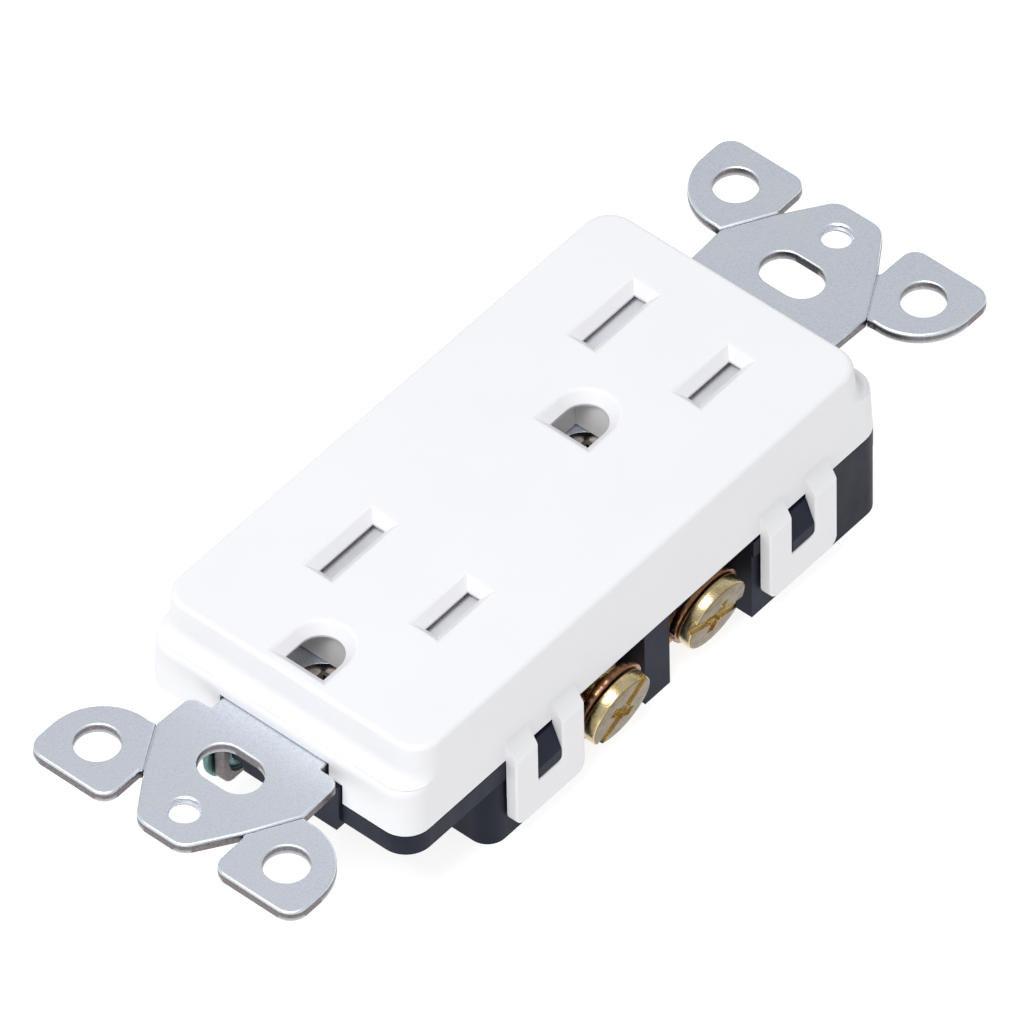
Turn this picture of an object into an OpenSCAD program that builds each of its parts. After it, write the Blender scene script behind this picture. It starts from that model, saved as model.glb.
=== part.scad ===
// Decorator-style duplex wall outlet, 15 A 125 V, tamper resistant.
// +Z points out of the wall, +Y to the top end of the device, +X to the hot (brass screw) side.
// The origin is the middle of the device on the rear face of the mounting strap.

/* [Face cover] */
// Width of the raised face at its top edge
face_w = 33.1; // [32.6:0.1:33.2]
// Length of the raised face
face_l = 66.2; // [65.8:0.1:66.6]
// Height of the face above the strap's rear face
face_top = 7.2; // [6.8:0.1:7.6]
// Width of the cover at its lower edge
cover_w = 34; // [33.6:0.1:34.4]
// Length of the cover over its two end ledges
cover_l = 71; // [70.6:0.1:71.4]
// Height of the end ledges
ledge_z = 2.8; // [2.6:0.1:3]
// Height of the cover's lower edge, where it meets the base
parting_z = -3.2; // [-3.4:0.1:-3]
// Radius of the cover's vertical corners
corner_r = 3; // [2.5:0.1:3.5]
// Wall thickness of the cover's sides
cover_wall = 1.4; // [1.2:0.1:1.5]
// Thickness of the face plate
face_wall = 1.3; // [1.25:0.05:1.5]

/* [Outlets] */
// Distance between the two rows of blade slots
row_pitch = 38.9; // [38.7:0.1:39.1]
// Height of the middle between the rows above the device's centre
row_mid_y = 2.95; // [2.8:0.05:3.1]
// Distance of each blade slot from the centre line
blade_x = 6.35; // [6.3:0.05:6.4]
// Length of the neutral slots
neutral_slot_l = 7.9; // [7.7:0.1:8.1]
// Length of the hot slots
hot_slot_l = 6.3; // [6.1:0.1:6.6]
// Width of the blade slots
slot_w = 1.6; // [1.5:0.1:1.8]
// Distance from a blade row down to its ground hole
ground_drop = 11.9; // [11.8:0.1:12]
// Radius of the round side of the ground hole
ground_r = 2.4; // [2.3:0.05:2.5]
// Depth and width of the lead-in round every slot
lead_in = 1.05; // [0.8:0.05:1.1]

/* [Mounting strap] */
// Thickness of the strap
strap_t = 1.2; // [1:0.1:1.3]
// Overall length of the strap
strap_l = 104.4; // [104:0.1:105]
// Width of the strap's neck at both ends of the cover
neck_w = 18.2; // [17.8:0.1:18.6]
// Distance between the two oval device-box screw slots
box_pitch = 83.34; // [83.3:0.01:83.4]
// Distance between the two tapped wall-plate holes
plate_pitch = 96.84; // [96.8:0.01:96.9]
// Radius of the tapped wall-plate holes
plate_hole_r = 1.6; // [1.5:0.05:1.7]
// Distance of the ear holes from the centre line
ear_x = 11.98; // [11.8:0.01:12.1]
// Distance of the ear holes from the device's centre
ear_y = 47.34; // [47.2:0.01:47.5]
// Radius of the ear holes
ear_hole_r = 2.33; // [2.2:0.01:2.4]

/* [Base] */
// Height of the rear face of the base
back_z = -14.6; // [-14.8:0.1:-14.4]
// Height of the rim's lower edge
rim_z = -5.7; // [-5.9:0.1:-5.5]
// Width of the deep part of the base
body_w = 33.4; // [33:0.1:33.6]
// Near end of the deep part of the base
body_y0 = -23.6; // [-23.8:0.1:-23.4]
// Far end of the deep part of the base
body_y1 = 35.3; // [35.1:0.1:35.4]

/* [Terminals] */
// Middle between the terminal screws along the device
terminal_mid_y = 2.15; // [2:0.05:2.3]
// Distance between the two terminal screws of a side
terminal_pitch = 15.2; // [15:0.1:15.4]
// Height of the terminal screws' axes at the terminal plates
terminal_z = -8.2; // [-8.4:0.1:-8]
// Radius of a terminal screw's head
head_r = 4.2; // [4:0.1:4.3]
// Thickness of a terminal screw's head
head_t = 1.5; // [1.4:0.1:1.6]
// Radius of a terminal screw's shank
shank_r = 2; // [1.9:0.05:2.05]
// How far the terminal screws lean down in their loose threads, in degrees
droop = 12; // [10:1:14]
// How far the lower hot screw is backed out past the others
backed_out = 0.8; // [0:0.1:0.9]

/* [Shutters] */
// Travel of a shutter
shutter_travel = 2.2; // [2:0.1:2.3]
// Clearance between the cover's underside and the shutters
shutter_gap = 0.15; // [0.1:0.05:0.2]

/* [Hidden] */
$fn = 48;
TOL = 0.01;
rows = [row_mid_y + row_pitch / 2, row_mid_y - row_pitch / 2];
terminals = [terminal_mid_y + terminal_pitch / 2, terminal_mid_y - terminal_pitch / 2];
face_under = face_top - face_wall;

// Cover: notches for the strap, and the four snap clips
notch_w = 13.8;
notch_top = strap_t + 0.2;
lug_half_w = 8.6;
lug_notch_top = -0.5;
clip_mid_y = 2.65;
clip_offset = 18.92;
clip_w = 10.1;
clip_x = 18.3;
clip_bottom = -12.1;
clip_ramp_top = -0.4;
clip_ramp_low = -2.85;
clip_t = 1.3;
window_w = 3.5;
window_low = -7.9;

// Base: screw bays in both sides, with a partition between the screws
bay_x = 12.4;
bay_half_l = 13.35;
partition_w = 3.7;
partition_x = 16;
deck_z = 1.3;
wall_x = 11.4;
catch_w = window_w - 0.2;
catch_z = -6.4;
cavity_floor = -13.4;
chimney_floor = -12.2;
chimney_z = -12.9;
lug_block_z = -6.9;
lug_gap = 0.15;
lug_inner_y = 28;

// Strap: width between the blade rows, and the ground tab
bar_w = 9.8;
shoulder_w = 13.2;
shoulder_y = 36.2;
relief_y = 37;
relief_r = 1.2;
tab_x = -6.6;
tab_y0 = -36.85;
tab_y1 = -31.2;
tab_bottom = -9.8;
tab_r = 1.4;
ground_y = -34;
ground_z = -7;
ground_shank_r = 1.9;
corner_x = tab_x + strap_t + 0.2;
score_top = [6.3, 47.1];
score_low = [9.3, 41.8];

// Contacts: sheet thickness and the places of their folds
brass_t = 0.7;
flange_top = -2.9;
riser_x = 10.5;
plate_x = 13.4;
jaw_half = 1.75;
jaw_len = 7;
jaw_web_z = -12.9;
ground_jaw_half = 2.9;
ground_jaw_half_l = 2.6;

// Rivets that hold the ground strip to the strap
rivet_y = [3.5, -6.5];
rivet_hole_r = 1.3;
rivet_head_r = 1.9;

// Terminal stack along X
clamp_r = 4.6;
clamp_t = 0.9;
screw_x = 15.9;
clamp_x = screw_x - clamp_t - 0.1;
face_r = 3.7;
screw_tip_x = 9.6;
ground_head_r = 3.6;
ground_head_x = -6.9;
ground_shank = 2.3;

// Shutter frame and shutter
frame_floor = strap_t + 0.2;
frame_floor_t = 0.9;
frame_top = face_under - 0.1;
frame_w = 22;
frame_wall = 0.9;
frame_y0 = -8;
frame_y1 = 5.6;
shutter_x0 = -10;
shutter_x1 = 7.7;
shutter_half_l = 4.5;
shutter_low = 2.5;
shutter_deck = 3.4;
window_half = 0.95;
ramp_drop = 0.7;
ramp_x = 1.3;
spring_y = -6;
spring_z = 3.9;
spring_r = 0.85;
spring_x0 = -3.4;
spring_x1 = 2.6;
passage_left = [3.4, 5.4];
passage_far = [2.55, 2.7];
passage_near = 2.6;
passage_right = 3.2;

// ---- helpers ----

// A box between two corners
module span(low, high) {
    translate(low) cube(high - low);
}

// A rectangle between two corners
module span_2d(low, high) {
    translate(low) square(high - low);
}

// A rectangle with round corners, centred
module round_rect(w, l, r) {
    square([w - 2 * r, l], center = true);
    square([w, l - 2 * r], center = true);
    for (x = [-1, 1], y = [-1, 1])
        translate([x * (w / 2 - r), y * (l / 2 - r)]) circle(r);
}

// Extrudes an XZ profile along Y, between y0 and y1
module along_y(y0, y1) {
    translate([0, y1, 0]) rotate([90, 0, 0]) linear_extrude(y1 - y0) children();
}

// Extrudes a YZ profile along X, between x0 and x1
module yz_plate(x0, x1) {
    translate([x0, 0, 0]) rotate([90, 0, 90]) linear_extrude(x1 - x0) children();
}

// Turns a shape made along +Z to point along +X from a given point
module along_x(x, y, z) {
    translate([x, y, z]) rotate([0, 90, 0]) children();
}

// Turns a shape made along +Z to lie on a terminal screw's leaning axis, a distance x from the centre line
module on_terminal(x, y) {
    translate([plate_x, y, terminal_z]) rotate([0, 90 + droop, 0]) translate([0, 0, x - plate_x]) children();
}

// Keeps the +X side or mirrors it to the -X side
module on_side(side) {
    if (side > 0) children();
    else mirror([1, 0, 0]) children();
}

// ---- face cover ----

// A thin slice of the drafted cover at height z
module cover_slice(w, l, z) {
    translate([0, 0, z]) linear_extrude(TOL) round_rect(w, l, corner_r);
}

// A profile from a to b at the lead-in's foot, sloping out to the face's surface
module lead_in_2d(a, b, out_a, out_b) {
    foot = face_top - lead_in;
    polygon([
        [a, foot], [b, foot], [b + out_b * lead_in, face_top], [b + out_b * lead_in, face_top + 1],
        [a - out_a * lead_in, face_top + 1], [a - out_a * lead_in, face_top]
    ]);
}

// A straight slot through the face with a sloped lead-in round its mouth
module blade_slot(x, y, l) {
    translate([x, y, 0]) {
        linear_extrude(face_top + 1) square([slot_w, l], center = true);
        intersection() {
            along_y(-l, l) lead_in_2d(-slot_w / 2, slot_w / 2, 1, 1);
            yz_plate(-l, l) lead_in_2d(-l / 2, l / 2, 1, 1);
        }
    }
}

// A ground hole: round towards the blade slots, flat on the other side
module ground_hole(y) {
    r = ground_r;
    translate([0, y, 0]) {
        linear_extrude(face_top + 1) {
            circle(r);
            span_2d([-r, -r], [r, 0]);
        }
        translate([0, 0, face_top - lead_in]) cylinder(h = lead_in, r1 = r, r2 = r + lead_in);
        intersection() {
            along_y(-2 * r, 0) lead_in_2d(-r, r, 1, 1);
            yz_plate(-2 * r, 2 * r) lead_in_2d(-r, 0, 1, 0);
        }
    }
}

// One snap clip on the +X side: two arms that ramp out from the wall, and a bar across them
module clip(y) {
    x0 = clip_x - clip_t;
    r = 1.2;
    difference() {
        yz_plate(x0, clip_x) {
            span_2d([y - clip_w / 2, clip_bottom + r], [y + clip_w / 2, parting_z]);
            span_2d([y - clip_w / 2 + r, clip_bottom], [y + clip_w / 2 - r, parting_z]);
            for (s = [-1, 1]) translate([y + s * (clip_w / 2 - r), clip_bottom + r]) circle(r);
        }
        span([x0 - 1, y - window_w / 2, window_low], [clip_x + 1, y + window_w / 2, parting_z + 1]);
    }
    arm_w = (clip_w - window_w) / 2;
    for (s = [-1, 1]) {
        arm_y = y + s * (clip_w - arm_w) / 2;
        along_y(arm_y - arm_w / 2, arm_y + arm_w / 2) polygon([
            [cover_w / 2 - 1, parting_z], [cover_w / 2 - 0.25, clip_ramp_top],
            [clip_x, clip_ramp_low], [clip_x, parting_z - 0.2], [x0, parting_z - 0.2], [x0, parting_z]
        ]);
    }
}

module face_cover() {
    color([0.96, 0.96, 0.97]) {
        difference() {
            union() {
                hull() {
                    cover_slice(face_w, face_l, face_top - TOL);
                    cover_slice(cover_w, face_l + 0.6, parting_z);
                }
                hull() {
                    cover_slice(cover_w - 0.4, cover_l - 0.4, ledge_z - TOL);
                    cover_slice(cover_w, cover_l, parting_z);
                }
            }
            // Hollow under the face and under the ledges
            translate([0, 0, parting_z - 1])
                linear_extrude(face_under - parting_z + 1)
                    round_rect(face_w - 2 * cover_wall, face_l - 2 * cover_wall, corner_r - cover_wall);
            translate([0, 0, parting_z - 1])
                linear_extrude(ledge_z - 1.5 - parting_z + 1)
                    round_rect(cover_w - 2 * cover_wall, cover_l - 2 * cover_wall, corner_r - cover_wall);
            for (y = rows) {
                blade_slot(-blade_x, y, neutral_slot_l);
                blade_slot(blade_x, y, hot_slot_l);
                ground_hole(y - ground_drop);
            }
            // Notches in both ends for the strap and the base's lugs
            for (s = [-1, 1]) translate([0, s * cover_l / 2, 0]) {
                span([-notch_w / 2, -4, parting_z - 1], [notch_w / 2, 4, notch_top]);
                span([0, -4, parting_z - 1], [lug_half_w, 4, lug_notch_top]);
            }
        }
        for (side = [-1, 1], s = [-1, 1])
            on_side(side) clip(clip_mid_y + s * clip_offset);
    }
}

// ---- base housing ----

// The deep part of the base in plan
module body_2d() {
    translate([0, (body_y0 + body_y1) / 2]) round_rect(body_w, body_y1 - body_y0, 2.2);
}

// The space of one screw bay on the +X side
module bay(z0, z1) {
    y0 = terminal_mid_y - bay_half_l;
    y1 = terminal_mid_y + bay_half_l;
    mid = terminal_mid_y;
    difference() {
        span([bay_x, y0, z0], [20, y1, z1]);
        span([bay_x - 1, mid - partition_w / 2, z0 - 1], [partition_x, mid + partition_w / 2, parting_z]);
    }
}

// The outline of the strap's seat in the base, with clearance
module strap_seat_2d() {
    gap = 0.15;
    span_2d([-bar_w / 2 - gap, -shoulder_y], [bar_w / 2 + gap, shoulder_y]);
    for (y = strap_pads())
        span_2d([-shoulder_w / 2 - gap, y[0] - gap], [shoulder_w / 2 + gap, y[1] + gap]);
}

// Spans along Y where the strap is as wide as its shoulders
function strap_pads() = [
    [-shoulder_y, rows[1] - 7],
    [rows[0] - ground_drop - 5, rows[0] - ground_drop + 5],
    [rows[0] + 5.6, shoulder_y]
];

module base_housing() {
    lug_y = cover_l / 2 + 0.4;
    color([0.15, 0.16, 0.19]) difference() {
        union() {
            translate([0, 0, rim_z]) linear_extrude(parting_z - rim_z) round_rect(cover_w, cover_l, corner_r);
            translate([0, 0, back_z]) linear_extrude(parting_z - back_z) body_2d();
            translate([0, 0, parting_z - 1])
                linear_extrude(deck_z - parting_z + 1)
                    round_rect(face_w - 2 * cover_wall - 0.3, face_l - 2 * cover_wall - 0.3, 1.4);
            // Lugs under the strap's neck at both ends, and the lower ground chimney
            span([corner_x, -lug_y, rim_z], [lug_half_w - lug_gap, -lug_inner_y, lug_notch_top - 0.1]);
            span([corner_x, -lug_y, parting_z], [notch_w / 2 - lug_gap, -lug_inner_y, 0]);
            span([corner_x, -lug_y, lug_block_z], [lug_half_w - 0.5, -lug_inner_y, rim_z + 1]);
            span([0, lug_inner_y, rim_z], [lug_half_w - lug_gap, lug_y, lug_notch_top - 0.1]);
            span([-notch_w / 2 + lug_gap, lug_inner_y, rim_z], [notch_w / 2 - lug_gap, lug_y, 0]);
            yz_plate(-4.4, 4.4) polygon([
                [-32.3, rim_z + 1], [-32.3, chimney_z + 1.2], [-31.1, chimney_z],
                [body_y0 + 1, chimney_z], [body_y0 + 1, rim_z + 1]
            ]);
            // Wedge-shaped catches that fill the clips' windows
            for (side = [-1, 1], s = [-1, 1]) on_side(side)
                translate([0, clip_mid_y + s * clip_offset, 0])
                    along_y(-catch_w / 2, catch_w / 2) polygon([
                        [clip_x - 2 * clip_t, window_low + 0.1], [clip_x - 2 * clip_t, parting_z],
                        [clip_x - clip_t, parting_z], [clip_x - 0.1, catch_z], [clip_x - 0.1, window_low + 0.1]
                    ]);
        }
        for (side = [-1, 1]) on_side(side) {
            bay(back_z - 1, deck_z + 1);
            // Recesses for the clips
            for (s = [-1, 1]) translate([0, clip_mid_y + s * clip_offset, 0]) difference() {
                span([clip_x - clip_t - 0.1, -clip_w / 2 - 0.15, clip_bottom - 0.3],
                     [20, clip_w / 2 + 0.15, parting_z + 1]);
                span([10, -catch_w / 2, window_low + 0.1], [21, catch_w / 2, parting_z]);
            }
            // Cavities for the blade contacts, and the seat of the strip's flange
            for (y = rows)
                span([blade_x - jaw_half - 0.2, y - jaw_len / 2 - 0.3, cavity_floor],
                     [wall_x, y + jaw_len / 2 + 0.3, deck_z + 1]);
            span([riser_x - 0.3, rows[1] - jaw_len / 2 - 0.3, flange_top - brass_t],
                 [20, rows[0] + jaw_len / 2 + 0.3, deck_z + 1]);
            // Clearance for the screws' shanks
            for (y = terminals)
                on_terminal(8.6, y) cylinder(h = 6, r = shank_r + 0.4);
        }
        // Open corner for the ground screw
        span([-20, -40, back_z - 1], [corner_x, ground_y + ground_head_r + 0.4, deck_z + 1]);
        along_x(tab_x, ground_y, ground_z) cylinder(h = ground_shank + 0.6, r = ground_shank_r + 0.25);
        // Seats of the strap and of the ground strip under it
        linear_extrude(deck_z + 1) strap_seat_2d();
        span([-2.9, rows[1] - ground_drop - 3.6, -brass_t - 0.1], [2.9, rows[0] - ground_drop + 3.6, 1]);
        for (y = rows)
            span([-3.4, y - ground_drop - 3.4, y > 0 ? cavity_floor : chimney_floor],
                 [3.4, y - ground_drop + 3.8, 1]);
        for (y = rivet_y)
            translate([0, y, -2.6]) cylinder(h = 3, r = rivet_head_r + 0.3);
    }
}

// ---- mounting strap ----

// One break-off ear at the +X +Y corner
module ear_2d() {
    top = strap_l / 2;
    side = 16.9;
    r = 1.5;
    difference() {
        intersection() {
            union() {
                translate([10.7, 48.2]) circle(6.3);
                span_2d([6.5, 48], [side, top - r]);
                span_2d([6.5 + r, 48], [side - r, top]);
                for (x = [6.5 + r, side - r]) translate([x, top - r]) circle(r);
            }
            polygon([score_low, [30, score_low[1] - 6], [30, top], [6.5, top], [6.5, score_top[1]], score_top]);
        }
        translate([ear_x, ear_y]) circle(ear_hole_r);
    }
}

// The strap's middle plate at the +Y end
module end_plate_2d() {
    top = strap_l / 2;
    r = 1.2;
    difference() {
        union() {
            polygon([
                [-neck_w / 2, shoulder_y + r], [-neck_w / 2 + r, shoulder_y],
                [neck_w / 2 - r, shoulder_y], [neck_w / 2, shoulder_y + r],
                score_low, score_top, [3.6, top - 1.1], [2.2, top],
                [-2.2, top], [-3.6, top - 1.1], [-score_top[0], score_top[1]], [-score_low[0], score_low[1]]
            ]);
            span_2d([-shoulder_w / 2, rows[0] + 5.6], [shoulder_w / 2, shoulder_y + 1]);
        }
        for (x = [-1.21, 1.21]) translate([x, box_pitch / 2]) circle(2.37);
        translate([0, box_pitch / 2]) square([2.42, 4.74], center = true);
        translate([0, plate_pitch / 2]) circle(plate_hole_r);
    }
}

// The shallow groove that lets an ear snap off
module score() {
    run = score_top - score_low;
    mid = (score_top + score_low) / 2;
    for (z = [0, strap_t])
        translate([mid[0], mid[1], z])
            rotate([0, 0, atan2(run[1], run[0])]) cube([norm(run) + 1, 0.9, 0.5], center = true);
}

module mounting_strap() {
    bend_r = 1.4;
    color([0.74, 0.76, 0.81]) {
        difference() {
            union() {
                for (s = [0, 1]) mirror([0, s, 0]) linear_extrude(strap_t) {
                    end_plate_2d();
                    for (t = [0, 1]) mirror([t, 0]) ear_2d();
                }
                linear_extrude(strap_t) difference() {
                    union() {
                        span_2d([-bar_w / 2, -shoulder_y], [bar_w / 2, shoulder_y]);
                        for (y = strap_pads()) span_2d([-shoulder_w / 2, y[0]], [shoulder_w / 2, y[1]]);
                    }
                    // Only the plates' own outlines count at the two ends
                    for (s = [-1, 1]) translate([0, s * (box_pitch / 2)]) square([8, 8], center = true);
                }
            }
            for (y = rows) translate([0, y - ground_drop, -1]) cylinder(h = 4, r = 3.2);
            for (y = rivet_y) translate([0, y, -1]) cylinder(h = 4, r = rivet_hole_r);
            for (s = [0, 1], t = [0, 1]) mirror([0, s, 0]) mirror([t, 0, 0]) score();
            // Relief of the neck beside the ground tab
            translate([0, 0, -1]) linear_extrude(strap_t + 2) polygon([
                [tab_x, -shoulder_y + 1], [tab_x, -relief_y], [relief_r - neck_w / 2, -relief_y],
                [-neck_w / 2, -relief_y - relief_r], [-neck_w / 2 - 1, -relief_y - relief_r],
                [-neck_w / 2 - 1, -shoulder_y + 1]
            ]);
            // Round the bend over the ground tab
            along_y(tab_y0 - 0.2, tab_y1) difference() {
                span_2d([tab_x - 1, strap_t - bend_r], [tab_x + bend_r, strap_t + 1]);
                translate([tab_x + bend_r, strap_t - bend_r]) circle(bend_r);
            }
        }
        // Ground tab, bent down at the neck's left side, with its tapped hole
        difference() {
            yz_plate(tab_x, tab_x + strap_t) {
                span_2d([tab_y0, tab_bottom + tab_r], [tab_y1, TOL]);
                span_2d([tab_y0 + tab_r, tab_bottom], [tab_y1 - tab_r, TOL]);
                for (y = [tab_y0 + tab_r, tab_y1 - tab_r]) translate([y, tab_bottom + tab_r]) circle(tab_r);
            }
            along_x(tab_x - 1, ground_y, ground_z) cylinder(h = 4, r = ground_shank_r + 0.05);
        }
    }
}

// ---- contacts ----

// A pair of sprung leaves that grip a pin between them, open at the top
module jaw_2d(half, mouth, web_z, top_z) {
    t = brass_t;
    pinch_z = top_z - 3.2;
    for (s = [-1, 1]) scale([s, 1]) polygon([
        [half, web_z], [half, web_z + 1.5], [mouth + t, pinch_z], [half, top_z],
        [half - t, top_z + 0.2], [mouth, pinch_z], [half - t, web_z + 1.4], [half - t, web_z]
    ]);
    span_2d([-half, web_z], [half, web_z + t]);
}

// One side's contact strip: two jaws, their risers, a flange and two terminal plates
module contact_strip() {
    t = brass_t;
    for (y = rows) {
        along_y(y - jaw_len / 2, y + jaw_len / 2) translate([blade_x, 0])
            jaw_2d(jaw_half, 0.65, jaw_web_z, -1.6);
        along_y(y - jaw_len / 2, y + jaw_len / 2) {
            span_2d([blade_x + jaw_half - t, jaw_web_z], [riser_x + t, jaw_web_z + t]);
            span_2d([riser_x, jaw_web_z], [riser_x + t, flange_top]);
        }
    }
    // The flange narrows to a break-off link between the two terminals
    span([riser_x, rows[1] - jaw_len / 2, flange_top - t], [bay_x, rows[0] + jaw_len / 2, flange_top]);
    difference() {
        for (y = terminals) {
            span([bay_x - 1, y - 4.4, flange_top - t], [plate_x, y + 4.4, flange_top]);
            span([plate_x - t, y - 4.4, cavity_floor], [plate_x, y + 4.4, flange_top]);
        }
        for (y = terminals) on_terminal(bay_x - 1, y) cylinder(h = 3.5, r = shank_r + 0.05);
    }
}

module hot_contact_strip() {
    color([0.72, 0.56, 0.3]) contact_strip();
}

module neutral_contact_strip() {
    color([0.76, 0.72, 0.62]) on_side(-1) contact_strip();
}

module ground_contact_strip() {
    color([0.74, 0.6, 0.36]) {
        difference() {
            span([-2.6, rows[1] - ground_drop - 3, -brass_t], [2.6, rows[0] - ground_drop + 3, 0]);
            for (y = rows) span([-2.5, y - ground_drop - ground_jaw_half_l, -2],
                                [2.5, y - ground_drop + ground_jaw_half_l, 1]);
            for (y = rivet_y) translate([0, y, -1]) cylinder(h = 2, r = rivet_hole_r);
        }
        for (y = rows)
            along_y(y - ground_drop - ground_jaw_half_l, y - ground_drop + ground_jaw_half_l)
                jaw_2d(ground_jaw_half, 1.9, chimney_floor + 0.2, -brass_t - 0.3);
        // Ends of the jaws run up into the strip
        for (y = rows, s = [-1, 1])
            on_side(s)
                span([ground_jaw_half - brass_t, y - ground_drop - ground_jaw_half_l, -brass_t - 0.6],
                     [ground_jaw_half, y - ground_drop + ground_jaw_half_l, 0]);
    }
}

module ground_rivets() {
    color([0.7, 0.68, 0.6])
        for (y = rivet_y) translate([0, y, 0]) {
            translate([0, 0, -brass_t - 0.9]) cylinder(h = 0.9, r = rivet_head_r);
            translate([0, 0, -brass_t - 0.1]) cylinder(h = strap_t + brass_t + 0.2, r = rivet_hole_r - 0.05);
            translate([0, 0, strap_t]) cylinder(h = 0.8, r1 = 2.1, r2 = 1.5);
        }
}

// ---- shutters ----

// The fixed frame over one outlet: a tray for the shutter and a shaft for the ground pin
module shutter_frame(i) {
    y = rows[i];
    gy = y - ground_drop;
    left = passage_left[i];
    far = passage_far[i];
    color([0.8, 0.8, 0.79]) difference() {
        union() {
            difference() {
                span([-frame_w / 2, y + frame_y0, frame_floor], [frame_w / 2, y + frame_y1, frame_top]);
                span([-frame_w / 2 + frame_wall, y + frame_y0 + frame_wall, frame_floor + frame_floor_t],
                     [frame_w / 2 - frame_wall, y + frame_y1 - frame_wall, frame_top + 1]);
            }
            span([-left - frame_wall, gy - passage_near - 0.5, frame_floor],
                 [passage_right + frame_wall, gy + far + frame_wall, frame_top]);
            span([-4, gy + far, frame_floor], [4, y + frame_y0 + 1, frame_floor + frame_floor_t]);
            // Post that holds the fixed end of the spring
            span([spring_x1, y + spring_y - 1, frame_floor], [spring_x1 + 1, y + spring_y + 1, frame_top - 0.2]);
        }
        span([-left, gy - passage_near, 0], [passage_right, gy + far, frame_top + 1]);
        for (x = [-blade_x, blade_x])
            span([x - 1.4, y - 4.4, 0], [x + 1.4, y + 4.4, frame_floor + 2]);
    }
}

module upper_shutter_frame() {
    shutter_frame(0);
}

module lower_shutter_frame() {
    shutter_frame(1);
}

// One shutter: a plate with two ramps, each beside the window its blade goes through
module shutter(y) {
    top = face_under - shutter_gap;
    color([0.84, 0.84, 0.83]) difference() {
        union() {
            span([shutter_x0, y - shutter_half_l, shutter_low], [shutter_x1, y + shutter_half_l, shutter_deck]);
            for (x = [-blade_x, blade_x]) {
                edge = x - shutter_travel + window_half;
                along_y(y - shutter_half_l, y + shutter_half_l) polygon([
                    [edge, shutter_low], [edge, top - ramp_drop], [x + ramp_x, top], [x + ramp_x, shutter_low]
                ]);
            }
            span([spring_x0 - 1, y + spring_y - 1, shutter_low], [spring_x0, y - shutter_half_l + 1, top - 0.4]);
        }
        for (x = [-blade_x, blade_x])
            span([x - shutter_travel - window_half, y - 4.1, shutter_low - 1],
                 [x - shutter_travel + window_half, y + 4.1, top + 1]);
    }
}

module upper_shutter() {
    shutter(rows[0]);
}

module lower_shutter() {
    shutter(rows[1]);
}

// A coil spring along X as one closed swept tube
module coil_spring(y) {
    turns = 6;
    steps = 14;
    sides = 6;
    wire_r = 0.16;
    x0 = spring_x0 + wire_r;
    x1 = spring_x1 - wire_r;
    n = turns * steps;
    points = [
        for (i = [0:n], k = [0:sides - 1])
            let (a = 360 * i / steps, b = 360 * k / sides, r = spring_r + wire_r * cos(b))
                [x0 + (x1 - x0) * i / n + wire_r * sin(b), y + r * cos(a), spring_z + r * sin(a)]
    ];
    walls = [
        for (i = [0:n - 1], k = [0:sides - 1])
            let (j = (k + 1) % sides)
                [i * sides + k, (i + 1) * sides + k, (i + 1) * sides + j, i * sides + j]
    ];
    caps = [
        [for (k = [0:sides - 1]) k],
        [for (k = [sides - 1:-1:0]) n * sides + k]
    ];
    color([0.7, 0.71, 0.73]) polyhedron(points, concat(walls, caps));
}

module upper_shutter_spring() {
    coil_spring(rows[0] + spring_y);
}

module lower_shutter_spring() {
    coil_spring(rows[1] + spring_y);
}

// ---- terminals ----

// Round pressure plate that presses the wire on the terminal plate
module clamp(y, out) {
    on_terminal(clamp_x + out, y) rotate_extrude() polygon([
        [shank_r + 0.1, 0.15], [clamp_r - 0.3, 0], [clamp_r, 0.3], [clamp_r, clamp_t - 0.15],
        [clamp_r - 0.15, clamp_t], [shank_r + 0.1, clamp_t]
    ]);
}

// Binding-head screw with a combination slot, its head outwards. turn is the slot's angle
module terminal_screw(y, out, turn) {
    slot = 1.2;
    slot_d = 0.9;
    under = screw_x - screw_tip_x;
    difference() {
        on_terminal(screw_tip_x + out, y) rotate_extrude() polygon([
            [0, 0], [shank_r - 0.5, 0], [shank_r, 0.5], [shank_r, under],
            [head_r - 0.15, under], [head_r, under + 0.15], [head_r, under + 0.45],
            [face_r + 0.2, under + head_t - 0.1], [face_r, under + head_t], [0, under + head_t]
        ]);
        on_terminal(screw_x + head_t + out, y) rotate([0, 0, turn]) {
            cube([3 * head_r, slot, 2 * slot_d], center = true);
            cube([slot, 3.6 * slot, 2 * slot_d], center = true);
            cube([1.6 * slot, 1.6 * slot, 3 * slot_d], center = true);
        }
    }
}

module hot_upper_clamp() {
    color([0.66, 0.46, 0.26]) clamp(terminals[0], 0);
}

module hot_lower_clamp() {
    color([0.66, 0.46, 0.26]) clamp(terminals[1], backed_out);
}

module neutral_upper_clamp() {
    color([0.75, 0.75, 0.74]) on_side(-1) clamp(terminals[0], 0);
}

module neutral_lower_clamp() {
    color([0.75, 0.75, 0.74]) on_side(-1) clamp(terminals[1], 0);
}

module hot_upper_screw() {
    color([0.78, 0.66, 0.42]) terminal_screw(terminals[0], 0, 70);
}

module hot_lower_screw() {
    color([0.78, 0.66, 0.42]) terminal_screw(terminals[1], backed_out, -40);
}

module neutral_upper_screw() {
    color([0.8, 0.8, 0.78]) on_side(-1) terminal_screw(terminals[0], 0, 20);
}

module neutral_lower_screw() {
    color([0.8, 0.8, 0.78]) on_side(-1) terminal_screw(terminals[1], 0, 65);
}

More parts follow.
